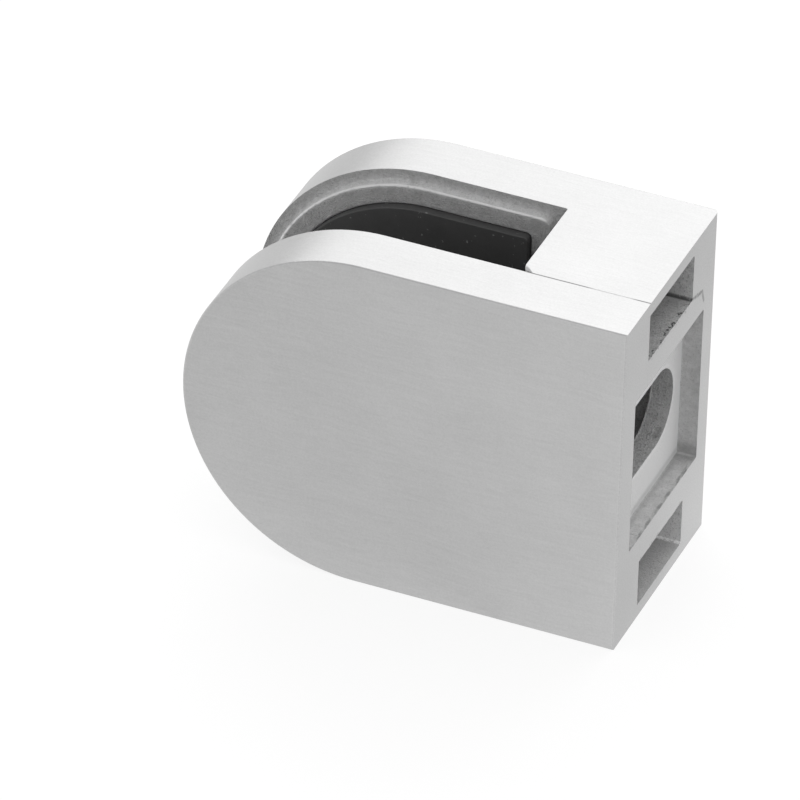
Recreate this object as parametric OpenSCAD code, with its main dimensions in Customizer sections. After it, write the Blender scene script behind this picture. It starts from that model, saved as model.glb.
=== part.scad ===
// D-shaped glass panel clamp for a flat post or wall.
// A cast base and a cast cover close on the pane's edge through two rubber pads.
// Two countersunk screws enter from the back, cross the base's web and thread into the cover.
//
// Frame: the origin is where the fixing screw's axis meets the mounting face.
// +X points out of the mounting face towards the post, -Y out of the cover's front, +Z up.

/* [Body] */
// Length from the mounting face to the tip of the round end
body_len = 56; // [50:0.5:80]
// Height across the straight sides, which is also the diameter of the round end
body_h = 45; // [42:0.5:60]
// Thickness of the cover
cover_t = 7.4; // [6.5:0.1:10]
// Thickness of the base's jaw
jaw_t = 7.4; // [6:0.1:10]
// Rounding of the long outer edges
edge_r = 0.2; // [0.1:0.1:1]
// Rounding of the cover's upright edge beside the mounting face
cover_corner_r = 0.3; // [0.2:0.1:1.5]
// Rounding of the base's upright edge beside the mounting face
base_corner_r = 0.9; // [0.2:0.1:1.5]

/* [Glass slot] */
// Clear width between the jaw and the cover
slot_w = 14.4; // [13:0.1:18]
// Thickness of the glass pane
glass_t = 10; // [8:0.1:11.5]
// Length of the web from the mounting face to the slot
web_len = 16.3; // [15.8:0.1:20]
// Distance from the outline of the slot's side to the rim round the pad
rim_inset = 1.5; // [1:0.1:3]
// Width of the rim
rim_w = 2.6; // [1.5:0.1:4]
// Height of the rim above the slot's side
rim_h = 1.2; // [0.6:0.1:1.3]
// Corner rounding of the rim beside the web
rim_corner_r = 1.6; // [1:0.1:2.5]
// Corner rounding of the pad beside the web
pad_corner_r = 0.6; // [0.3:0.1:1]
// Depth of the pad's seat below the slot's side
pad_seat_depth = 1; // [0.5:0.1:2]

/* [Mounting face] */
// Depth of the square seat for a flat or tube insert
seat_depth = 2.5; // [1.5:0.1:3]
// Width of the seat across the clamp's thickness
seat_w = 21.6; // [18:0.1:24]
// Height of the seat
seat_h = 21.4; // [18:0.1:22]
// Corner rounding of the seat
seat_corner_r = 0.3; // [0.3:0.1:2]
// Thickness of the wall behind the seat
seat_wall = 3; // [2:0.1:4]
// Width of the fixing slot in that wall
fixing_slot_w = 10.3; // [8.4:0.1:12]
// Distance from the fixing axis to the centre of the slot's round end
fixing_slot_reach = 3.35; // [2:0.05:4.5]
// Height of the chamber for the fixing screw's head
chamber_h = 18; // [15:0.5:18.5]
// Distance from the fixing axis to the back of the chamber
chamber_reach = 10; // [9:0.5:11]
// Thickness of the web's wall between the chamber and the slot
chamber_wall = 2; // [1.5:0.1:3]
// Height of the hollows above and below the seat
hollow_h = 6.4; // [4:0.1:6.8]
// Depth of the hollows
hollow_depth = 5; // [3:0.1:5.5]
// Distance from the fixing axis to the back of the hollows
hollow_reach = 6.8; // [5:0.05:9]
// Thickness of the wall between a hollow and the outside
hollow_wall = 1.75; // [1.5:0.05:2.5]

/* [Clamp screws] */
// Nominal diameter of the clamp screws
screw_d = 6; // [5:0.5:6]
// Full length of a clamp screw, with its head
screw_len = 25; // [24:0.5:26]
// Diameter of the countersunk head
head_d = 12; // [10:0.5:12.5]
// Height of the straight band round the head
head_band = 0.3; // [0.2:0.1:0.6]
// Depth of the head's face below the base's back
head_sink = 0.4; // [0:0.1:0.8]
// Width across the flats of the hex socket
socket_af = 4; // [3:0.5:4]
// Depth of the hex socket
socket_depth = 2.4; // [1.5:0.1:3]
// Chamfer at the screw's tip and at the mouth of its thread
thread_chamfer = 0.6; // [0.3:0.1:1]
// Distance from the top and bottom edges to the screws
screw_edge = 8; // [7.5:0.1:8.2]
// Distance from the mounting face to the screws
screw_inset = 10.5; // [10:0.1:10.8]
// Radial play of the thread in the cover and of the head in its seat
screw_play = 0.05; // [0.02:0.01:0.1]
// Radial clearance of the shank in the base
shank_clearance = 0.2; // [0.1:0.05:0.4]
// Depth of the threaded hole in the cover
thread_depth = 5.4; // [5:0.1:5.8]

/* [Hidden] */
$fn = 96;

body_t = cover_t + slot_w + jaw_t;
front_y = -body_t / 2;
joint_y = front_y + cover_t;
jaw_y = joint_y + slot_w;
back_y = body_t / 2;

end_r = body_h / 2;
end_x = end_r - body_len;

pad_proud = (slot_w - glass_t) / 2;
pad_inset = rim_inset + rim_w;

chamber_x = -(seat_depth + seat_wall);
chamber_len = web_len - seat_depth - seat_wall - chamber_wall;

screw_r = screw_d / 2;
head_r = head_d / 2;
head_cone = head_r - screw_r;
head_top_y = back_y - head_sink;

steel = [0.74, 0.74, 0.73];
screw_steel = [0.6, 0.6, 0.61];
rubber = [0.08, 0.08, 0.08];

// How far every cut runs past the surface it opens
over = 1;

// Extrudes an outline drawn in X and Z from y_low to y_high
module along_y(y_low, y_high) {
    translate([0, y_high, 0])
        rotate([90, 0, 0])
            linear_extrude(y_high - y_low)
                children();
}

// Extrudes an outline drawn in Y and Z from x_low to x_high
module along_x(x_low, x_high) {
    translate([x_low, 0, 0])
        rotate([90, 0, 90])
            linear_extrude(x_high - x_low)
                children();
}

// Puts the Z axis of its children on the axis of the upper (1) or lower (-1) screw
module on_screw_axis(side) {
    translate([-screw_inset, 0, side * (end_r - screw_edge)])
        rotate([-90, 0, 0])
            children();
}

// Rectangle centred on the origin, with round corners
module round_rectangle(w, h, r) {
    square([w - 2 * r, h], center = true);
    square([w, h - 2 * r], center = true);
    for (a = [-1, 1], b = [-1, 1])
        translate([a * (w / 2 - r), b * (h / 2 - r)])
            circle(r);
}

// Half of the D's outer edge profile: first axis outwards, second axis down from the outer face
module plate_profile(reach, t) {
    translate([0, edge_r])
        square([reach, t - edge_r]);
    square([reach - edge_r, t]);
    translate([reach - edge_r, edge_r])
        circle(edge_r);
}

// D-shaped plate with its outer face at y = 0 and its inner face at y = t
module d_plate(t) {
    along_x(end_x, 0)
        for (side = [0, 1])
            mirror([0, side])
                rotate(90)
                    mirror([0, 1])
                        plate_profile(end_r, t);
    translate([end_x, 0, 0])
        rotate([-90, 0, 0])
            rotate_extrude()
                plate_profile(end_r, t);
}

// Block that rounds by r the upright edge where the mounting face meets an outer face at y = 0
module corner_block(t, r) {
    translate([0, 0, -body_h / 2 - over])
        linear_extrude(body_h + 2 * over) {
            translate([-body_len - over, 0])
                square([body_len + over - r, t]);
            translate([-r - over, r])
                square([r + over, t - r]);
            translate([-r, r])
                circle(r);
        }
}

// One jaw with its outer face at y = 0 and its upright edge rounded by r
module jaw(t, r) {
    intersection() {
        d_plate(t);
        corner_block(t, r);
    }
}

// D outline of the slot's side, drawn in by inset all round, with the round end's centre at 0
module slot_outline(inset, r) {
    reach = end_r - inset;
    flat_x = -web_len - inset - end_x;
    intersection() {
        union() {
            circle(reach);
            translate([0, -reach])
                square([flat_x, 2 * reach]);
        }
        translate([(flat_x - reach) / 2, 0])
            round_rectangle(flat_x + reach, 2 * reach, r);
    }
}

// Prism on that outline, from y_low to y_high
module slot_prism(inset, r, y_low, y_high) {
    translate([end_x, 0, 0])
        along_y(y_low, y_high)
            slot_outline(inset, r);
}

// Rim that stands into the slot round a pad, from y_low to y_high
module pad_rim(y_low, y_high) {
    slot_prism(rim_inset, rim_corner_r, y_low, y_high);
}

// Room of a pad, from y_low to y_high
module pad_room(y_low, y_high) {
    slot_prism(pad_inset, pad_corner_r, y_low, y_high);
}

// Square seat that base and cover share in the mounting face
module insert_seat() {
    along_x(-seat_depth, over)
        round_rectangle(seat_w, seat_h, seat_corner_r);
}

// Slot for the fixing screw, open to the cover
module fixing_slot() {
    along_x(chamber_x - over, over) {
        translate([fixing_slot_reach, 0])
            circle(d = fixing_slot_w);
        translate([joint_y - over, -fixing_slot_w / 2])
            square([fixing_slot_reach - joint_y + over, fixing_slot_w]);
    }
}

// Chamber for the fixing screw's head, open to the cover
module screw_chamber() {
    translate([chamber_x - chamber_len, joint_y - over, -chamber_h / 2])
        cube([chamber_len, chamber_reach - joint_y + over, chamber_h]);
}

// Hollow above (1) or below (-1) the seat
module hollow(side) {
    mid_z = body_h / 2 - hollow_wall - hollow_h / 2;
    translate([-hollow_depth, joint_y - over, side * mid_z - hollow_h / 2])
        cube([hollow_depth + over, hollow_reach - joint_y + over, hollow_h]);
}

// Clearance hole and countersink of a clamp screw in the base
module screw_hole() {
    seat_r = head_r + screw_play;
    cone_top = head_top_y - head_band - screw_play;
    translate([0, 0, joint_y - over])
        cylinder(r = screw_r + shank_clearance, h = body_t);
    translate([0, 0, cone_top - seat_r])
        cylinder(r1 = 0, r2 = seat_r, h = seat_r);
    translate([0, 0, cone_top])
        cylinder(r = seat_r, h = body_t);
}

// Threaded hole of a clamp screw in the cover, at the thread's outer diameter
module threaded_hole() {
    hole_r = screw_r + screw_play;
    translate([0, 0, joint_y - thread_depth])
        cylinder(r = hole_r, h = thread_depth + over);
    translate([0, 0, joint_y - thread_chamfer])
        cylinder(r1 = hole_r, r2 = hole_r + thread_chamfer, h = thread_chamfer);
}

// Countersunk screw with a hex socket, its head towards the back
module clamp_screw() {
    tip_y = head_top_y - screw_len;
    cone_top = head_top_y - head_band;
    difference() {
        union() {
            translate([0, 0, tip_y])
                cylinder(r1 = screw_r - thread_chamfer, r2 = screw_r, h = thread_chamfer);
            translate([0, 0, tip_y + thread_chamfer])
                cylinder(r = screw_r, h = cone_top - head_cone - tip_y - thread_chamfer);
            translate([0, 0, cone_top - head_cone])
                cylinder(r1 = screw_r, r2 = head_r, h = head_cone);
            translate([0, 0, cone_top])
                cylinder(r = head_r, h = head_band);
        }
        translate([0, 0, head_top_y - socket_depth])
            cylinder(d = socket_af / cos(30), h = socket_depth + over, $fn = 6);
    }
}

// Cast base: the rear jaw and the web that carries the mounting face
module base_body() {
    color(steel)
        difference() {
            union() {
                translate([0, back_y, 0])
                    mirror([0, 1, 0])
                        jaw(jaw_t, base_corner_r);
                along_x(-web_len, 0)
                    translate([joint_y, -end_r])
                        square([slot_w + jaw_t / 2, body_h]);
                pad_rim(jaw_y - rim_h, jaw_y + pad_seat_depth);
            }
            pad_room(jaw_y - rim_h - over, jaw_y + pad_seat_depth);
            insert_seat();
            fixing_slot();
            screw_chamber();
            for (side = [-1, 1]) {
                hollow(side);
                on_screw_axis(side)
                    screw_hole();
            }
        }
}

// Cast cover: the front jaw
module cover_plate() {
    color(steel)
        difference() {
            union() {
                translate([0, front_y, 0])
                    jaw(cover_t, cover_corner_r);
                pad_rim(joint_y - pad_seat_depth, joint_y + rim_h);
            }
            pad_room(joint_y - pad_seat_depth, joint_y + rim_h + over);
            insert_seat();
            for (side = [-1, 1])
                on_screw_axis(side)
                    threaded_hole();
        }
}

// Rubber pad in the cover
module front_pad() {
    color(rubber)
        pad_room(joint_y - pad_seat_depth, joint_y + pad_proud);
}

// Rubber pad in the base's jaw
module rear_pad() {
    color(rubber)
        pad_room(jaw_y - pad_proud, jaw_y + pad_seat_depth);
}

// Upper clamp screw
module upper_clamp_screw() {
    color(screw_steel)
        on_screw_axis(1)
            clamp_screw();
}

// Lower clamp screw
module lower_clamp_screw() {
    color(screw_steel)
        on_screw_axis(-1)
            clamp_screw();
}

base_body();
cover_plate();
front_pad();
rear_pad();
upper_clamp_screw();
lower_clamp_screw();
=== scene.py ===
"""Looks of the D-shaped glass panel clamp: ground and brushed cast steel, rubber pads, two socket screws."""
import math

import bmesh
import bpy
from mathutils import Matrix, Vector, noise


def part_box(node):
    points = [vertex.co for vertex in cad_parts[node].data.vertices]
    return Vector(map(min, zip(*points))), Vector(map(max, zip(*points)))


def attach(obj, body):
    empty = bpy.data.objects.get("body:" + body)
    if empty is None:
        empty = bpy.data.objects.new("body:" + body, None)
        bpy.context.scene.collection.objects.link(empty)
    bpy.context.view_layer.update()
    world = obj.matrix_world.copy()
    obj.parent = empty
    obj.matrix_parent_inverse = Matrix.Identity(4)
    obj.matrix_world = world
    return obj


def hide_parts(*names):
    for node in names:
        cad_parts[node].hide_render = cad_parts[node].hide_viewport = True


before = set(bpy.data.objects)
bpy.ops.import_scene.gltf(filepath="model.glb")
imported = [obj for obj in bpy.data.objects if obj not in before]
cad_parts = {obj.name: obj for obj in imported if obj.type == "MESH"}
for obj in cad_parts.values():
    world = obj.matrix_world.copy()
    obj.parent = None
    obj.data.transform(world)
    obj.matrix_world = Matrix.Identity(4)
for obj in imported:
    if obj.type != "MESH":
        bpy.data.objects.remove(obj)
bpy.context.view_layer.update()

MM = 0.001


# ---------- sizes, from the frame ----------

BASE_LOW, BASE_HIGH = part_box("base_body")
# the round end's radius, and the X of its centre
END_R = BASE_HIGH.z
END_X = BASE_LOW.x + END_R
BACK_Y = BASE_HIGH.y
JOINT_Y = BASE_LOW.y
FLOOR_Z = BASE_LOW.z
SCREW_LOW, SCREW_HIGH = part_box("upper_clamp_screw")
SCREW_X = (SCREW_LOW.x + SCREW_HIGH.x) / 2
SCREW_Z = (SCREW_LOW.z + SCREW_HIGH.z) / 2
SCREW_TOP_Y = SCREW_HIGH.y


# ---------- node helpers ----------

class Nodes:
    """Builds a material's node tree with short calls; every call returns an output socket."""

    def __init__(self, name):
        self.material = bpy.data.materials.new(name)
        self.material.use_nodes = True
        self.tree = self.material.node_tree
        self.shader = self.tree.nodes["Principled BSDF"]

    def put(self, socket, value):
        if isinstance(value, bpy.types.NodeSocket):
            self.tree.links.new(value, socket)
        else:
            socket.default_value = value

    def math(self, operation, a, b=0.0):
        node = self.tree.nodes.new("ShaderNodeMath")
        node.operation = operation
        self.put(node.inputs[0], a)
        self.put(node.inputs[1], b)
        return node.outputs[0]

    def add(self, a, b):
        return self.math("ADD", a, b)

    def times(self, a, b):
        return self.math("MULTIPLY", a, b)

    def rest(self, share):
        """What is left of 1."""
        return self.math("SUBTRACT", 1.0, share)

    def largest(self, first, *others):
        for other in others:
            first = self.math("MAXIMUM", first, other)
        return first

    def length(self, a, b):
        """The length of a line that runs by a and by b."""
        return self.math("SQRT", self.add(self.times(a, a), self.times(b, b)))

    def swing(self, noise, reach):
        """A change up and down, reach wide, that follows noise between 0 and 1."""
        return self.times(self.add(noise, -0.5), reach)

    def step(self, value, low, high, from_value=0.0, to_value=1.0):
        """Runs from from_value at low to to_value at high, smoothly, and stays level beyond."""
        node = self.tree.nodes.new("ShaderNodeMapRange")
        node.interpolation_type = "SMOOTHSTEP"
        self.put(node.inputs["Value"], value)
        node.inputs["From Min"].default_value = low
        node.inputs["From Max"].default_value = high
        node.inputs["To Min"].default_value = from_value
        node.inputs["To Max"].default_value = to_value
        return node.outputs["Result"]

    def mix(self, share, a, b):
        node = self.tree.nodes.new("ShaderNodeMix")
        self.put(node.inputs["Factor"], share)
        self.put(node.inputs["A"], a)
        self.put(node.inputs["B"], b)
        return node.outputs["Result"]

    def place(self):
        """The surface point in the part's frame, in millimetres."""
        coordinates = self.tree.nodes.new("ShaderNodeTexCoord").outputs["Object"]
        return self.scaled(coordinates, (1 / MM, 1 / MM, 1 / MM))

    def scaled(self, vector, scale):
        node = self.tree.nodes.new("ShaderNodeVectorMath")
        node.operation = "MULTIPLY"
        self.put(node.inputs[0], vector)
        node.inputs[1].default_value = scale
        return node.outputs["Vector"]

    def split(self, vector):
        node = self.tree.nodes.new("ShaderNodeSeparateXYZ")
        self.put(node.inputs[0], vector)
        return node.outputs["X"], node.outputs["Y"], node.outputs["Z"]

    def noise(self, vector, scale, detail=2.0, roughness=0.5):
        node = self.tree.nodes.new("ShaderNodeTexNoise")
        self.put(node.inputs["Vector"], vector)
        node.inputs["Scale"].default_value = scale
        node.inputs["Detail"].default_value = detail
        node.inputs["Roughness"].default_value = roughness
        return node.outputs["Fac"]

    def warped(self, vector, scale, reach):
        """The point moved a little by slow noise, so that streaks drawn on it waver."""
        node = self.tree.nodes.new("ShaderNodeTexNoise")
        self.put(node.inputs["Vector"], vector)
        node.inputs["Scale"].default_value = scale
        node.inputs["Detail"].default_value = 1.0
        move = self.scaled(node.outputs["Color"], (reach, reach, reach))
        total = self.tree.nodes.new("ShaderNodeVectorMath")
        self.put(total.inputs[0], vector)
        self.put(total.inputs[1], move)
        return total.outputs["Vector"]

    def facing(self):
        """The surface's direction in the part's frame."""
        return self.tree.nodes.new("ShaderNodeTexCoord").outputs["Normal"]

    def grey(self, tone):
        node = self.tree.nodes.new("ShaderNodeCombineColor")
        for socket in node.inputs[:3]:
            self.put(socket, tone)
        return node.outputs[0]

    def bump(self, height, distance, strength=1.0, under=None):
        node = self.tree.nodes.new("ShaderNodeBump")
        self.put(node.inputs["Height"], height)
        self.put(node.inputs["Strength"], strength)
        node.inputs["Distance"].default_value = distance
        if under is not None:
            self.put(node.inputs["Normal"], under)
        return node.outputs["Normal"]


# ---------- materials ----------

# greys of the ground faces, the cast skin, the seat's floor and the rubbed rims
GROUND_TONE = 0.52
CAST_TONE = 0.65
FLOOR_OF_SEAT_TONE = 0.90
RIM_TONE = 0.66
# roughness of the same four, the ground faces' before their streaks
GROUND_ROUGHNESS = 0.38
CAST_ROUGHNESS = 0.66
FLOOR_OF_SEAT_ROUGHNESS = 0.70
RIM_ROUGHNESS = 0.34
# how much of the cast skin and of the seat's floor shines as bare metal
CAST_METAL = 0.40
FLOOR_OF_SEAT_METAL = 0.30
# scale, detail and roughness of the noises in the castings
PITS = (1.1, 5.0, 0.75)
GRAIN = (4.0, 3.0, 0.7)
CHIPS = (1.6, 3.0, 0.6)
SMOKE = (0.55, 4.0, 0.7)
DASHES = (1.6, 4.0, 0.65)
CLOUD = (0.07, 3.0, 0.6)
SPECKLE = (4.5, 2.0, 0.5)
# depths of the bumps: the brushing's fine lines, the cast skin, the pads and the turned screws
HAIR_DEPTH = 0.02 * MM
SKIN_DEPTH = 0.24 * MM
RUBBER_DEPTH = 0.06 * MM
TURNED_DEPTH = 0.01 * MM
# rings that a screw's turned face has in a millimetre
RINGS_A_MM = 6.0
# places in the castings, in millimetres
SEAT_DEPTH = 2.5
SEAT_H = 21.4
SEAT_BACK_Y = 10.6
SEAT_WALL = 3.0
SLOT_R = 5.15
SLOT_CENTRE_Y = 3.35
WEB_LEN = 16.3
RIM_INSET = 1.5
RIM_TOP_Y = 6.0
HOLLOW_LOW_Z = 14.35
HOLLOW_TOP_Z = 20.75
HOLLOW_DEPTH = 5.0
HOLLOW_BACK_Y = 6.8
# a crack in the mounting face, as points of Y and Z, and how far it reaches to each side
CRACK = ((6.8, 14.5), (10.0, 13.7), (10.6, 12.0))
CRACK_REACH = 0.34
# a face counts as cast from the first depth under the outside, and as ground up to the second
CAST_FROM, GROUND_TO = 0.35, 0.25
# the X where the two castings meet tightest
TIGHTEST_X = -4.8


def past_round_end(n, x):
    """How far a point lies past the round end's centre, as a negative length, and 0 before it."""
    return n.math("MINIMUM", n.add(x, -END_X / MM), 0.0)


def on_outside(n, reach, limit, outward):
    """1 where a point reaches out to the limit and its face looks outward."""
    return n.times(n.step(reach, limit - CAST_FROM, limit - GROUND_TO), n.step(outward, 0.2, 0.4))


def ground_mask(n, place, facing):
    """1 on the ground faces, which are both outer faces, the outline and the mounting face, then 1 on
    the mounting face alone."""
    x, y, z = n.split(place)
    nx, ny, nz = n.split(facing)
    past_end = past_round_end(n, x)
    radius = n.length(past_end, z)
    outward = n.math("DIVIDE", n.add(n.times(past_end, nx), n.times(z, nz)), radius)
    edge = on_outside(n, radius, END_R / MM, outward)
    sideways = n.times(n.math("SIGN", y), ny)
    faces = on_outside(n, n.math("ABSOLUTE", y), BACK_Y / MM, sideways)
    mouth = on_outside(n, x, 0.0, nx)
    return n.largest(edge, faces, mouth), mouth


def seat_mask(n, place):
    """1 on the floor and the walls of the square seat, short of its mouth."""
    x, y, z = n.split(place)
    depth = n.step(x, -SEAT_DEPTH - 0.15, -SEAT_DEPTH - 0.05)
    height = n.step(n.math("ABSOLUTE", z), SEAT_H / 2 + 0.1, SEAT_H / 2 + 0.4, 1.0, 0.0)
    return n.times(depth, height)


def brushing(n, place, mouth, across, along, detail):
    """Streaks that run along X on the outside and along Z on the mounting face."""
    along_x = n.noise(n.scaled(place, (along, across, across)), 1.0, detail, 0.6)
    along_z = n.noise(n.scaled(place, (across, across, along)), 1.0, detail, 0.6)
    return n.mix(mouth, along_x, along_z)


def near_line(n, a, a_line, b, b_line, reach):
    """1 on the line where coordinate a is a_line and b is b_line, falling to 0 at reach from it."""
    distance = n.length(n.add(a, -a_line), n.add(b, -b_line))
    return n.step(distance, reach * 0.3, reach, 1.0, 0.0)


def near_segment(n, a, b, start, end, reach):
    """1 on the straight line between two points of the plane of a and b, falling to 0 at reach from it."""
    run_a, run_b = end[0] - start[0], end[1] - start[1]
    length = math.hypot(run_a, run_b)
    from_a, from_b = n.add(a, -start[0]), n.add(b, -start[1])
    along = n.add(n.times(from_a, run_a / length), n.times(from_b, run_b / length))
    across = n.add(n.times(from_a, run_b / length), n.times(from_b, -run_a / length))
    past = n.largest(n.times(along, -1.0), n.add(along, -length))
    return near_line(n, across, 0.0, n.largest(past, 0.0), 0.0, reach)


def slot_line(n, place, depth, outward, reach):
    """1 on a line round the fixing slot at this depth, set outward from its wall, falling to 0 at reach."""
    x, y, z = n.split(place)
    past_centre = n.largest(n.add(y, -SLOT_CENTRE_Y), 0.0)
    return near_line(n, x, -depth, n.length(past_centre, z), SLOT_R + outward, reach)


def rim_line(n, place, outward, down, reach):
    """1 on a line along the rims round the pads, set off from their outer top edge, falling to 0 at reach."""
    x, y, z = n.split(place)
    radius = n.length(past_round_end(n, x), z)
    from_outline = n.math("SUBTRACT", END_R / MM, radius)
    inset = n.math("MINIMUM", from_outline, n.math("SUBTRACT", -WEB_LEN, x))
    return near_line(n, inset, RIM_INSET - outward, n.math("ABSOLUTE", y), RIM_TOP_Y + down, reach)


class Casting:
    """The castings' surface: masks for its regions, and a tone for each kind of skin."""

    def __init__(self, n):
        self.n = n
        self.place = n.place()
        facing = n.facing()
        self.x, self.y, self.z = n.split(self.place)
        self.nx, self.ny, nz = n.split(facing)
        self.height = n.math("ABSOLUTE", self.z)
        self.ground, self.mouth = ground_mask(n, self.place, facing)
        self.pits = n.noise(self.place, *PITS)
        self.grain = n.noise(self.place, *GRAIN)
        self.chips = n.noise(self.place, *CHIPS)
        self.streaks = brushing(n, n.warped(self.place, 0.12, 1.6), self.mouth, 3.0, 0.15, 4.0)
        self.mark_regions()
        # broken: dark chips, partly scale and partly painted shade in their pits
        self.broken = self.chips_and_pit_shade()
        self.breaks = n.largest(n.times(self.broken, 0.75), self.crack(), self.joint_line())

    def mark_regions(self):
        """Masks for the seat, its floor, the hollows, the glass slot's sides and the rubbed rims."""
        n = self.n
        self.seat = seat_mask(n, self.place)
        floor = n.step(self.x, -SEAT_DEPTH + 0.04, -SEAT_DEPTH + 0.08, 1.0, 0.0)
        self.seat_floor = n.times(n.times(self.seat, n.step(self.nx, 0.5, 0.9)), floor)
        # the seat floor's corners with its upper and lower walls, where shade is painted
        self.floor_corner_shade = near_line(n, self.x, -SEAT_DEPTH, self.height, SEAT_H / 2 - 0.2, 1.1)
        self.upper_half = n.step(self.z, -1.0, 1.0)
        self.in_hollow = n.step(self.x, -HOLLOW_DEPTH - 0.2, -HOLLOW_DEPTH)
        hollow = n.times(self.in_hollow, n.step(self.height, SEAT_H / 2 + 1, SEAT_H / 2 + 2))
        self.upper_hollow = n.times(hollow, self.upper_half)
        self.lower_hollow = n.times(hollow, n.rest(self.upper_half))
        self.rear_wall = n.times(hollow, n.step(self.ny, -0.9, -0.5, 1.0, 0.0))
        self.jaw = n.step(self.x, -WEB_LEN - 0.1, -WEB_LEN + 0.1, 1.0, 0.0)
        rim = rim_line(n, self.place, -0.08, 0.08, 0.36)
        self.rubbed = n.times(rim, n.step(self.pits, 0.35, 0.5, 0.45, 0.85))

    def chipped(self, low, high, least, most):
        """A share between least and most that chips break up."""
        return self.n.step(self.chips, low, high, least, most)

    # marks, some of them painted shade and painted highlights

    def chips_and_pit_shade(self):
        """Dark chips along the hollows' mouths on the side of the seat, weaker below: scale, and painted
        shade in their small pits.
        """
        n = self.n
        edge = near_line(n, self.x, -0.15, self.height, HOLLOW_LOW_Z + 0.1, 0.75)
        from_joint = n.step(self.y, JOINT_Y / MM, JOINT_Y / MM + 0.6)
        to_back = n.step(self.y, HOLLOW_BACK_Y, HOLLOW_BACK_Y + 0.2, 1.0, 0.0)
        along = n.times(n.times(from_joint, to_back), n.mix(self.upper_half, 0.5, 1.0))
        return n.times(n.times(edge, self.chipped(0.56, 0.60, 0.0, 0.85)), along)

    def crack(self):
        """A short shaky crack in the mounting face, from the upper hollow's corner towards the back."""
        n = self.n
        shaky = n.add(self.z, n.swing(self.pits, 1.2))
        start, corner, end = CRACK
        upper_run = near_segment(n, self.y, shaky, start, corner, CRACK_REACH)
        lower_run = near_segment(n, self.y, shaky, corner, end, CRACK_REACH)
        line = n.times(n.largest(upper_run, lower_run), self.mouth)
        return n.times(line, self.chipped(0.35, 0.55, 0.33, 0.62))

    def joint_line(self):
        """The joint's dark line on the outline, fading where the two castings meet tightest."""
        n = self.n
        line = near_line(n, self.y, JOINT_Y / MM, 0.0, 0.0, 0.14)
        web = n.step(self.x, -WEB_LEN + 0.2, -WEB_LEN + 0.7)
        from_tightest = n.math("ABSOLUTE", n.add(self.x, -TIGHTEST_X))
        strength = n.step(from_tightest, 2.0, 3.5, 0.12, 0.6)
        return n.times(n.times(n.times(line, web), n.rest(self.mouth)), strength)

    def spots(self):
        """Dark specks and soot, weaker inside the glass slot and in the lower hollow."""
        n = self.n
        specks = n.times(n.step(self.grain, 0.54, 0.64), 0.34)
        smoke = n.noise(n.scaled(self.place, (1.0, 0.7, 1.0)), *SMOKE)
        soot = n.times(n.step(smoke, 0.56, 0.72), 0.25)
        calmer = n.largest(self.jaw, n.times(self.lower_hollow, 0.6))
        return n.times(n.add(soot, specks), n.mix(calmer, 1.0, 0.55))

    def hollow_corner_shade_and_soot(self):
        """Painted shade in the upper hollow's inner corner, with some soot."""
        n = self.n
        corner = near_line(n, self.y, HOLLOW_BACK_Y - 0.1, self.z, HOLLOW_LOW_Z + 0.05, 0.42)
        return n.times(n.times(corner, self.chipped(0.30, 0.5, 0.4, 0.75)), self.in_hollow)

    def hollow_flash(self):
        """A pale line of flash in the lower hollow's inner corner."""
        n = self.n
        corner = near_line(n, self.y, HOLLOW_BACK_Y - 0.1, self.z, -HOLLOW_TOP_Z + 0.1, 0.30)
        return n.times(n.times(corner, self.in_hollow), self.chipped(0.35, 0.5, 0.1, 0.4))

    def slot_edge_highlight(self):
        """A pale broken line round the fixing slot, where the chamber behind its wall begins: a painted
        highlight on that edge.
        """
        line = slot_line(self.n, self.place, SEAT_DEPTH + SEAT_WALL - 0.2, 0.0, 0.22)
        return self.n.times(line, self.chipped(0.35, 0.60, 0.75, 0.25))

    # painted light and shade

    def painted_hollow_light(self):
        """A factor of painted light on the hollows' rear walls, and of painted shade that grows deeper into
        the hollows.
        """
        n = self.n
        gain = n.times(self.rear_wall, n.mix(self.upper_half, 0.45, 0.25))
        upper_loss = n.times(self.upper_hollow, n.step(self.x, -4.0, 0.0, 0.20, 0.04))
        lower_loss = n.times(self.lower_hollow, n.step(self.x, -4.0, 0.0, 0.15, 0.05))
        return n.times(n.add(1.0, gain), n.times(n.rest(upper_loss), n.rest(lower_loss)))

    def seat_shade_and_dirt(self):
        """Painted shade over the seat, deeper in its corners and in its lower rear corner, and dirt in dashes
        at its mouth.
        """
        n = self.n
        shade = n.add(n.times(self.seat, 0.05), n.times(self.floor_corner_shade, 0.16))
        dashes = n.noise(n.scaled(self.place, (1.0, 0.3, 1.0)), *DASHES)
        edge = near_line(n, self.x, -0.2, self.height, SEAT_H / 2, 0.4)
        dirt = n.times(edge, n.step(dashes, 0.44, 0.60, 0.08, 0.45))
        # painted shade in the seat's lower rear corner, held in soot below
        corner = near_line(n, self.y, SEAT_BACK_Y, self.z, -SEAT_H / 2 + 0.4, 2.2)
        soot = n.times(n.times(self.seat, corner), 0.28)
        return n.largest(shade, dirt, soot)

    def jaw_painted_shade_and_light(self):
        """A factor of painted shade on the glass slot's sides, with painted light on the rims' outer sides.
        """
        n = self.n
        lit_rim_side = rim_line(n, self.place, 0.2, 0.5, 1.1)
        return n.mix(self.jaw, 1.0, n.add(0.80, n.times(lit_rim_side, 0.26)))

    # tones

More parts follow.
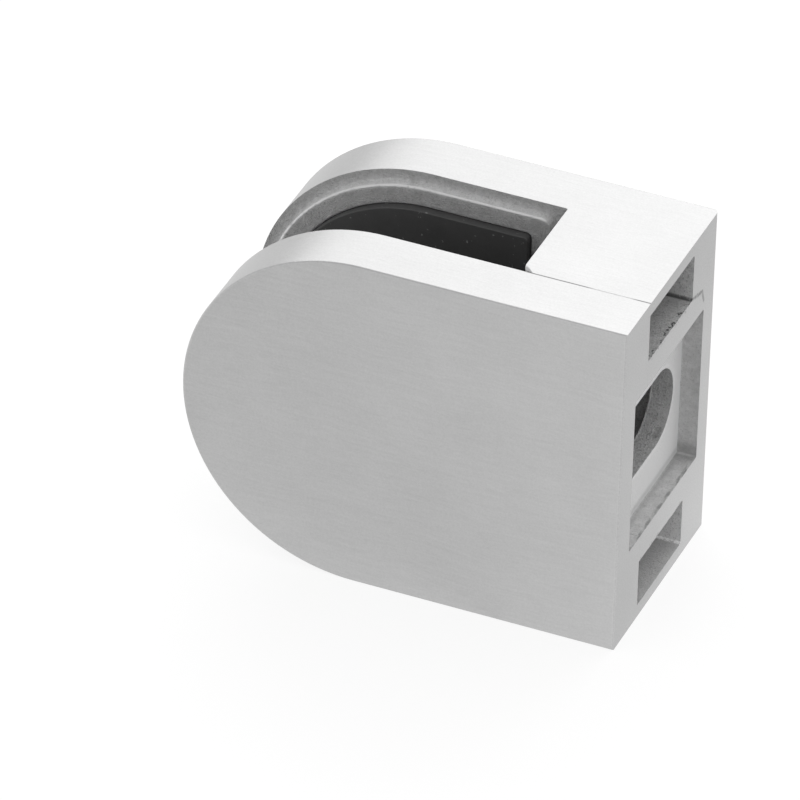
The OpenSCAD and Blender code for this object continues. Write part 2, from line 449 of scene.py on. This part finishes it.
    def skin_tone(self):
        """The skin as cast: blotches and marks, with painted light and shade in its hollows, seat and glass
        slot.
        """
        n = self.n
        blotches = n.swing(self.pits, n.mix(self.lower_hollow, 0.45, 0.25))
        marks = n.times(n.largest(self.spots(), self.hollow_corner_shade_and_soot(), self.broken), n.mix(self.seat, 1.0, 0.5))
        tone = n.times(n.add(CAST_TONE, blotches), n.rest(marks))
        tone = n.times(n.add(tone, self.slot_edge_highlight()), self.painted_hollow_light())
        tone = n.times(n.add(tone, self.hollow_flash()), n.rest(self.seat_shade_and_dirt()))
        return n.times(tone, self.jaw_painted_shade_and_light())

    def floor_tone(self):
        """The seat's smooth floor, with painted shade in its corners and a painted highlight on the slot's
        lip.
        """
        n = self.n
        # a painted highlight along the slot's lip
        lip = n.times(slot_line(n, self.place, SEAT_DEPTH, 0.25, 0.5), self.chipped(0.40, 0.55, 0.08, 0.02))
        return n.add(n.times(FLOOR_OF_SEAT_TONE, n.rest(n.times(self.floor_corner_shade, 0.2))), lip)

    def ground_tone(self):
        """Ground and brushed: streaks, slow clouds and fine speckle, with painted light in slow slopes and on
        the cover's corner, broken by chips, crack and joint.
        """
        n = self.n
        cloud = n.noise(self.place, *CLOUD)
        speckle = n.noise(self.place, *SPECKLE)
        tone = n.add(GROUND_TONE, n.swing(self.streaks, n.mix(self.mouth, 0.10, 0.04)))
        tone = n.add(tone, n.swing(cloud, 0.07))
        tone = n.add(tone, n.swing(speckle, n.mix(self.mouth, 0.10, 0.18)))
        tone = n.add(tone, self.painted_light_slope())
        return n.times(n.times(tone, self.corner_highlight_and_wear()), n.rest(self.breaks))

    def painted_light_slope(self):
        """Painted light: a slow change of tone over the whole part, and a darker tone with its own slope on
        the mounting face.
        """
        n = self.n
        outside = n.add(n.times(n.add(self.x, 25.0), 0.0011), n.times(self.z, -0.0006))
        turning = n.times(self.y, n.add(n.times(self.z, -0.00006), 0.0014))
        on_mouth = n.add(n.add(turning, n.times(self.z, -0.001)), -0.064)
        return n.add(outside, n.times(self.mouth, on_mouth))

    def corner_highlight_and_wear(self):
        """A factor that lightens the cover's upright corner beside the mounting face: a painted highlight,
        with some wear from rubbing.
        """
        n = self.n
        turned = n.math("ABSOLUTE", n.times(self.nx, self.ny))
        return n.add(1.0, n.times(turned, n.step(self.y, -1.0, 1.0, 0.30, 0.0)))

    def by_region(self, skin, floor, ground, rim):
        """One value out of four, for the kind of surface that each point lies on."""
        n = self.n
        inside = n.mix(self.seat_floor, skin, floor)
        return n.mix(self.rubbed, n.mix(self.ground, inside, ground), rim)


def cast_steel():
    """Steel that is ground and brushed outside, rough as cast inside and rubbed bright on the rims."""
    n = Nodes("cast_steel_ground")
    casting = Casting(n)
    tone = casting.by_region(casting.skin_tone(), casting.floor_tone(), casting.ground_tone(), RIM_TONE)
    n.put(n.shader.inputs["Base Color"], n.grey(tone))
    unbroken = n.rest(n.times(casting.breaks, 0.5))
    metal = casting.by_region(CAST_METAL, FLOOR_OF_SEAT_METAL, unbroken, 1.0)
    n.put(n.shader.inputs["Metallic"], metal)
    brushed = n.add(GROUND_ROUGHNESS, n.swing(casting.streaks, 0.10))
    roughness = casting.by_region(CAST_ROUGHNESS, FLOOR_OF_SEAT_ROUGHNESS, brushed, RIM_ROUGHNESS)
    n.put(n.shader.inputs["Roughness"], roughness)
    hair = brushing(n, casting.place, casting.mouth, 11.0, 0.3, 2.0)
    lines = n.bump(hair, HAIR_DEPTH, n.times(casting.ground, 0.35))
    smoother = n.times(n.largest(casting.seat, casting.lower_hollow), 0.6)
    rough = n.rest(n.largest(casting.ground, smoother, casting.rubbed))
    bumps = n.bump(n.add(casting.grain, casting.pits), SKIN_DEPTH, rough, lines)
    n.put(n.shader.inputs["Normal"], bumps)
    return n.material


def pad_rubber():
    """Matte black rubber with a dull film and a little dust."""
    n = Nodes("pad_rubber_black")
    place = n.place()
    grain = n.noise(place, 2.2, 4.0, 0.65)
    film = n.noise(place, 0.25, 3.0, 0.6)
    dust = n.step(n.noise(place, 1.9, 2.0, 0.4), 0.70, 0.76)
    tone = n.add(0.036, n.add(n.times(grain, 0.02), n.times(film, 0.03)))
    n.put(n.shader.inputs["Base Color"], n.grey(n.mix(n.times(dust, 0.5), tone, 0.35)))
    n.put(n.shader.inputs["Roughness"], n.add(0.50, n.times(grain, 0.2)))
    n.put(n.shader.inputs["Normal"], n.bump(grain, RUBBER_DEPTH, 0.6))
    return n.material


def screw_steel():
    """Turned steel: fine rings round the screw's axis, and painted shade in the socket."""
    n = Nodes("screw_steel_turned")
    place = n.place()
    x, y, z = n.split(place)
    from_x = n.add(x, -SCREW_X / MM)
    from_z = n.add(n.math("ABSOLUTE", z), -SCREW_Z / MM)
    radius = n.length(from_x, from_z)
    profile = n.tree.nodes.new("ShaderNodeCombineXYZ")
    n.put(profile.inputs[0], n.times(radius, RINGS_A_MM))
    n.put(profile.inputs[1], n.times(y, RINGS_A_MM))
    rings = n.noise(profile.outputs[0], 1.0, 3.0, 0.6)
    blotch = n.noise(place, 0.5, 3.0, 0.6)
    tone = n.add(0.36, n.add(n.times(rings, 0.10), n.times(blotch, 0.10)))
    # painted shade in the socket, deeper below its top
    below_top = n.step(y, SCREW_TOP_Y / MM - 1.2, SCREW_TOP_Y / MM - 0.2, 0.75, 0.0)
    painted_socket_shade = n.times(below_top, n.step(radius, 2.6, 3.0, 1.0, 0.0))
    tone = n.times(tone, n.rest(painted_socket_shade))
    n.put(n.shader.inputs["Base Color"], n.grey(tone))
    n.shader.inputs["Metallic"].default_value = 1.0
    n.put(n.shader.inputs["Roughness"], n.add(0.26, n.times(blotch, 0.18)))
    n.put(n.shader.inputs["Normal"], n.bump(rings, TURNED_DEPTH, 0.6))
    return n.material


STEEL = cast_steel()
RUBBER = pad_rubber()
SCREW = screw_steel()


# ---------- CAD nodes ----------

# radii of the castings' edges, and the shares of the cast one that ground edges and the seat's corners have
CAST_RADIUS = 0.3 * MM
GROUND_EDGE = 0.1
SEAT_EDGE = 0.3
# radii of the web's upright corner at the joint and of the pads' edges
WEB_RADIUS = 1.5 * MM
PAD_RADIUS = 0.15 * MM
# flat steps that make a rounded edge, and the web's corner
EDGE_STEPS = 2
WEB_STEPS = 6
# an edge's middle lies this deep inside the outline where the casting was left as cast
CAST_DEPTH = 0.5 * MM
# a sharper bend than this is an edge that is rounded, and on the made pieces one that is shaded as sharp
SHARP_ANGLE = math.radians(35)
SMOOTH_ANGLE = math.radians(32)
# joined vertices lie this close, and faces that bend less than this are one flat face
WELD_REACH = 1e-7
FLAT_ANGLE = math.radians(0.5)


def wire(group, kind, *values, **settings):
    """Adds a node to a geometry tree and feeds its first inputs."""
    node = group.nodes.new(kind)
    for key, value in settings.items():
        setattr(node, key, value)
    for socket, value in zip(node.inputs, values):
        if isinstance(value, bpy.types.NodeSocket):
            group.links.new(value, socket)
        else:
            socket.default_value = value
    return node


def edge_marks(name, pick):
    """A geometry tree that stores on each edge the bevel weight that pick makes of its middle and angle."""
    group = bpy.data.node_groups.new(name, "GeometryNodeTree")
    group.interface.new_socket("Geometry", in_out="INPUT", socket_type="NodeSocketGeometry")
    group.interface.new_socket("Geometry", in_out="OUTPUT", socket_type="NodeSocketGeometry")

    def calc(operation, a, b=0.0):
        return wire(group, "ShaderNodeMath", a, b, operation=operation).outputs[0]

    place = group.nodes.new("GeometryNodeInputPosition").outputs[0]
    middle = wire(group, "ShaderNodeSeparateXYZ", place).outputs
    angle = group.nodes.new("GeometryNodeInputMeshEdgeAngle").outputs
    entry = group.nodes.new("NodeGroupInput").outputs[0]
    store = group.nodes.new("GeometryNodeStoreNamedAttribute")
    store.data_type = "FLOAT"
    store.domain = "EDGE"
    store.inputs["Name"].default_value = "bevel_weight_edge"
    group.links.new(entry, store.inputs["Geometry"])
    group.links.new(pick(calc, middle, angle), store.inputs["Value"])
    group.links.new(store.outputs[0], group.nodes.new("NodeGroupOutput").inputs[0])
    return group


def web_corner(calc, middle, angle):
    """Only the web's upright corner at the joint, inside the glass slot."""
    from_x = calc("ABSOLUTE", calc("SUBTRACT", middle[0], -WEB_LEN * MM))
    from_y = calc("ABSOLUTE", calc("SUBTRACT", middle[1], JOINT_Y))
    return calc("LESS_THAN", calc("ADD", from_x, from_y), 0.05 * MM)


def casting_edges(calc, middle, angle):
    """Every sharp edge: wide as cast inside, crisp on the ground outside and in the seat's corners."""
    x, y, z = middle
    past_end = calc("MINIMUM", calc("SUBTRACT", x, END_X), 0.0)
    radius = calc("SQRT", calc("ADD", calc("MULTIPLY", past_end, past_end), calc("MULTIPLY", z, z)))
    depth = calc("MINIMUM", calc("SUBTRACT", END_R, radius), calc("MULTIPLY", x, -1.0))
    depth = calc("MINIMUM", depth, calc("SUBTRACT", BACK_Y, calc("ABSOLUTE", y)))
    inside = calc("GREATER_THAN", depth, CAST_DEPTH)
    in_seat = calc("GREATER_THAN", x, -(SEAT_DEPTH + 0.1) * MM)
    seat_corner = calc("MULTIPLY", in_seat, calc("GREATER_THAN", angle["Signed Angle"], 0.0))
    weight = calc("ADD", GROUND_EDGE, calc("MULTIPLY", inside, 1.0 - GROUND_EDGE))
    softer = calc("MULTIPLY", seat_corner, 1.0 - SEAT_EDGE)
    weight = calc("MULTIPLY", weight, calc("SUBTRACT", 1.0, softer))
    return calc("MULTIPLY", weight, calc("GREATER_THAN", angle["Unsigned Angle"], SHARP_ANGLE))


WEB_CORNER = edge_marks("web_corner", web_corner)
CASTING_EDGES = edge_marks("casting_edges", casting_edges)


def round_edges(piece, name, width, segments, marks=None):
    """Bevels the edges that a geometry tree marks, or else every sharp one."""
    if marks:
        piece.modifiers.new(name + "_marks", "NODES").node_group = marks
    bevel = piece.modifiers.new(name, "BEVEL")
    bevel.loop_slide = False
    bevel.width = width
    bevel.segments = segments
    bevel.limit_method = "WEIGHT" if marks else "ANGLE"
    bevel.angle_limit = SHARP_ANGLE
    bevel.use_clamp_overlap = False


def dress(name, material, edge, marks=None):
    """Gives a CAD node its material and its rounded edges."""
    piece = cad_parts[name]
    for i in range(len(piece.data.materials)):
        piece.data.materials[i] = material
    weld = piece.modifiers.new("weld", "WELD")
    weld.merge_threshold = WELD_REACH
    flat = piece.modifiers.new("flat", "DECIMATE")
    flat.decimate_type = "DISSOLVE"
    flat.angle_limit = FLAT_ANGLE
    if name == "base_body":
        round_edges(piece, "web_corner", WEB_RADIUS, WEB_STEPS, WEB_CORNER)
    round_edges(piece, "edges", edge, EDGE_STEPS, marks)
    level = piece.modifiers.new("normals", "WEIGHTED_NORMAL")
    level.keep_sharp = False
    level.weight = 100


dress("base_body", STEEL, CAST_RADIUS, CASTING_EDGES)
dress("cover_plate", STEEL, CAST_RADIUS, CASTING_EDGES)
dress("front_pad", RUBBER, PAD_RADIUS)
dress("rear_pad", RUBBER, PAD_RADIUS)


# ---------- clamp screws ----------

THREAD_R = 3.0 * MM
THREAD_PITCH = 1.0 * MM
THREAD_DEPTH = 0.61 * MM
# steepness of the thread's flanks, and the share of a pitch that is left flat at the crest
THREAD_FLANK = 2.4
THREAD_CREST = 0.15
TIP_CHAMFER = 0.6 * MM
HEAD_BAND = 0.3 * MM
HEAD_CHAMFER = 0.08 * MM
SOCKET_AF = 4.0 * MM
SOCKET_DEPTH = 2.4 * MM
# how far the socket's chamfer reaches outward and down, and the depth of the drill's cone
SOCKET_FLARE = 0.12 * MM
SOCKET_CHAMFER = 0.35 * MM
DRILL_CONE = 0.6 * MM
SIDES = 48
RINGS_A_PITCH = 10


def thread_radius(y, turn, tip_y, neck_y):
    """Radius of an M6 thread at height y; it fades out under the head and at the tip's chamfer."""
    wave = (y / THREAD_PITCH - turn) % 1.0
    cut = min(max((0.5 - abs(wave - 0.5)) * THREAD_FLANK - THREAD_CREST, 0.0), 1.0)
    fade = min(max((neck_y - y) / THREAD_PITCH, 0.0), 1.0)
    full = THREAD_R - THREAD_DEPTH * cut * fade
    return min(full, THREAD_R - TIP_CHAMFER + (y - tip_y))


def hexagon_radius(turn, across_flats):
    """Distance from a hexagon's centre to its side, in the direction of this share of a turn."""
    corner = math.pi / 3
    angle = (turn * 2 * math.pi) % corner - corner / 2
    return across_flats / 2 / math.cos(angle)


def screw_rings(tip_y, top_y, head_r):
    """The screw's rings from the tip to the socket's floor, each as (height, radius for every side)."""
    neck_y = top_y - HEAD_BAND - (head_r - THREAD_R)
    turns = [side / SIDES for side in range(SIDES)]
    rings = []
    steps = round((neck_y - tip_y) / THREAD_PITCH * RINGS_A_PITCH)
    for step in range(steps + 1):
        y = tip_y + (neck_y - tip_y) * step / steps
        rings.append((y, [thread_radius(y, turn, tip_y, neck_y) for turn in turns]))
    rings.append((top_y - HEAD_BAND, [head_r] * SIDES))
    rings.append((top_y - HEAD_CHAMFER, [head_r] * SIDES))
    rings.append((top_y, [head_r - HEAD_CHAMFER] * SIDES))
    mouth = SOCKET_AF / 2 / math.cos(math.pi / 6) + SOCKET_FLARE
    rings.append((top_y, [mouth] * SIDES))
    hexagon = [hexagon_radius(turn, SOCKET_AF) for turn in turns]
    rings.append((top_y - SOCKET_CHAMFER, hexagon))
    rings.append((top_y - SOCKET_DEPTH + DRILL_CONE, hexagon))
    return rings


def ring_vertices(mesh, centre_x, centre_z, y, radii):
    """One loop of vertices round a screw's axis at height y."""
    loop = []
    for side, r in enumerate(radii):
        angle = 2 * math.pi * side / SIDES
        loop.append(mesh.verts.new((centre_x + r * math.cos(angle), y, centre_z + r * math.sin(angle))))
    return loop


def socket_screw(name, node, body):
    """A countersunk screw with a thread and a hex socket, in place of a CAD node of the same size."""
    low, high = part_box(node)
    centre_x, centre_z = (low.x + high.x) / 2, (low.z + high.z) / 2
    mesh = bmesh.new()
    rings = screw_rings(low.y, high.y, (high.x - low.x) / 2)
    loops = [ring_vertices(mesh, centre_x, centre_z, y, radii) for y, radii in rings]
    for below, above in zip(loops, loops[1:]):
        for side in range(SIDES):
            following = (side + 1) % SIDES
            mesh.faces.new((below[side], above[side], above[following], below[following]))
    tip = mesh.verts.new((centre_x, low.y, centre_z))
    floor = mesh.verts.new((centre_x, high.y - SOCKET_DEPTH, centre_z))
    for side in range(SIDES):
        following = (side + 1) % SIDES
        mesh.faces.new((tip, loops[0][side], loops[0][following]))
        mesh.faces.new((floor, loops[-1][following], loops[-1][side]))
    bmesh.ops.recalc_face_normals(mesh, faces=mesh.faces)
    add_piece(name, mesh, SCREW, body, replaced=node)


def add_piece(name, mesh, material, body, replaced=None):
    """Makes an object of a finished mesh, ties it to its body and hides the node it replaces."""
    data = bpy.data.meshes.new(name)
    mesh.to_mesh(data)
    mesh.free()
    data.materials.append(material)
    data.shade_smooth()
    data.set_sharp_from_angle(angle=SMOOTH_ANGLE)
    piece = bpy.data.objects.new(name, data)
    bpy.context.scene.collection.objects.link(piece)
    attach(piece, body)
    if replaced:
        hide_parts(replaced)


socket_screw("upper_socket_screw", "upper_clamp_screw", "upper_screw")
socket_screw("lower_socket_screw", "lower_clamp_screw", "lower_screw")


# ---------- casting burrs ----------

BURR_REACH = 0.16 * MM
BURR_STEPS = 90
# how deep a burr's root is sunk in the wall, and how far it and the lip lie behind the face
ROOT_SUNK = 0.03 * MM
ROOT_BACK = 0.01 * MM
LIP_BACK = 0.02 * MM


def burr_row(mesh, place, inward, share, seed):
    """Three points across a burr, a share of the way along it: the root, the ragged lip and the heel."""
    swell = noise.noise(Vector((share * 9, seed, 0))) + 0.6 * noise.noise(Vector((share * 40, seed, 7)))
    lip = BURR_REACH * max(0.08, 0.25 + 0.75 * swell) * min(1, 12 * share, 12 * (1 - share))
    deep = (0.10 + 0.08 * noise.noise(Vector((share * 25, seed, 3)))) * MM
    root = place - inward * ROOT_SUNK
    return [
        mesh.verts.new(root + Vector((-ROOT_BACK, 0, 0))),
        mesh.verts.new(place + inward * lip + Vector((-LIP_BACK, 0, 0))),
        mesh.verts.new(root + Vector((-deep, 0, 0))),
    ]


def ragged_edge(name, start, end, inward, seed):
    """A burr along a mouth of the mounting face: a thin ragged lip, flush with the face."""
    mesh = bmesh.new()
    shares = [step / BURR_STEPS for step in range(BURR_STEPS + 1)]
    rows = [burr_row(mesh, start.lerp(end, share), inward, share, seed) for share in shares]
    for here, there in zip(rows, rows[1:]):
        for k in range(3):
            mesh.faces.new((here[k], here[(k + 1) % 3], there[(k + 1) % 3], there[k]))
    mesh.faces.new(rows[0])
    mesh.faces.new(reversed(rows[-1]))
    bmesh.ops.recalc_face_normals(mesh, faces=mesh.faces)
    add_piece(name, mesh, STEEL, "base")


def hollow_burr(name, side):
    """A burr on a hollow's mouth, along the edge beside the seat; side is 1 above the seat, -1 below."""
    edge_z = side * HOLLOW_LOW_Z * MM
    at_joint = Vector((0, JOINT_Y + 0.3 * MM, edge_z))
    at_back = Vector((0, (HOLLOW_BACK_Y - 0.2) * MM, edge_z))
    ragged_edge(name, at_joint, at_back, Vector((0, 0, side)), 2.5 * side)


hollow_burr("upper_hollow_burr", 1)
hollow_burr("lower_hollow_burr", -1)


# ---------- floor, light and camera ----------

WORLD_STRENGTH = 0.8
FLOOR_REACH = 3.0
FLOOR_DROP = 0.02 * MM
FLOOR_TONE = (0.22, 0.22, 0.22, 1)
FLOOR_GLOW = 0.81


def stage_floor():
    """A dull floor for the lamps, which the camera and the reflections see as white with a shadow."""
    z = FLOOR_Z - FLOOR_DROP
    sides = ((-1, -1), (1, -1), (1, 1), (-1, 1))
    mesh = bpy.data.meshes.new("floor")
    mesh.from_pydata([(FLOOR_REACH * x, FLOOR_REACH * y, z) for x, y in sides], [], [(0, 1, 2, 3)])
    floor = bpy.data.objects.new("floor", mesh)
    bpy.context.scene.collection.objects.link(floor)
    n = Nodes("floor_white")
    n.shader.inputs["Base Color"].default_value = FLOOR_TONE
    n.shader.inputs["Roughness"].default_value = 0.9
    path = n.tree.nodes.new("ShaderNodeLightPath").outputs
    seen = n.add(n.add(path["Is Camera Ray"], path["Is Glossy Ray"]), path["Is Transmission Ray"])
    n.shader.inputs["Emission Color"].default_value = (1, 1, 1, 1)
    n.put(n.shader.inputs["Emission Strength"], n.times(seen, FLOOR_GLOW))
    mesh.materials.append(n.material)


def world_light():
    """Plain white light from all sides."""
    world = bpy.data.worlds.new("studio")
    world.use_nodes = True
    bpy.context.scene.world = world
    background = world.node_tree.nodes["Background"]
    background.inputs["Color"].default_value = (1, 1, 1, 1)
    background.inputs["Strength"].default_value = WORLD_STRENGTH


def area_light(name, place, target, size, power):
    """A soft box at place that shines at target."""
    light = bpy.data.lights.new(name, "AREA")
    light.shape = "RECTANGLE"
    light.size, light.size_y = size
    light.energy = power
    lamp = bpy.data.objects.new(name, light)
    bpy.context.scene.collection.objects.link(lamp)
    lamp.location = place
    lamp.rotation_euler = (Vector(target) - Vector(place)).to_track_quat("-Z", "Y").to_euler()


def photo_camera():
    """The photograph's camera: fitted to the outline, so its place and lens are its own values."""
    eye = Vector((0.32747, -0.89232, 0.65882))
    forward = Vector((-0.309021, 0.762834, -0.567970)).normalized()
    roll = math.radians(1.694)
    right = forward.cross(Vector((0, 0, 1))).normalized()
    up = right.cross(forward)
    side = right * math.cos(roll) + up * math.sin(roll)
    top = -right * math.sin(roll) + up * math.cos(roll)
    camera_data = bpy.data.cameras.new("photo_camera")
    camera_data.sensor_width = 36
    camera_data.lens = 440.86
    camera = bpy.data.objects.new("photo_camera", camera_data)
    bpy.context.scene.collection.objects.link(camera)
    turn = Matrix((side, top, -forward)).transposed()
    camera.matrix_world = Matrix.Translation(eye) @ turn.to_4x4()
    bpy.context.scene.camera = camera


stage_floor()
world_light()
area_light("overhead", place=(-0.30, 1.2, 0.87), target=(-0.03, 0, 0), size=(2.0, 1.1), power=8.6)
photo_camera()
bpy.context.scene.view_settings.view_transform = "Standard"
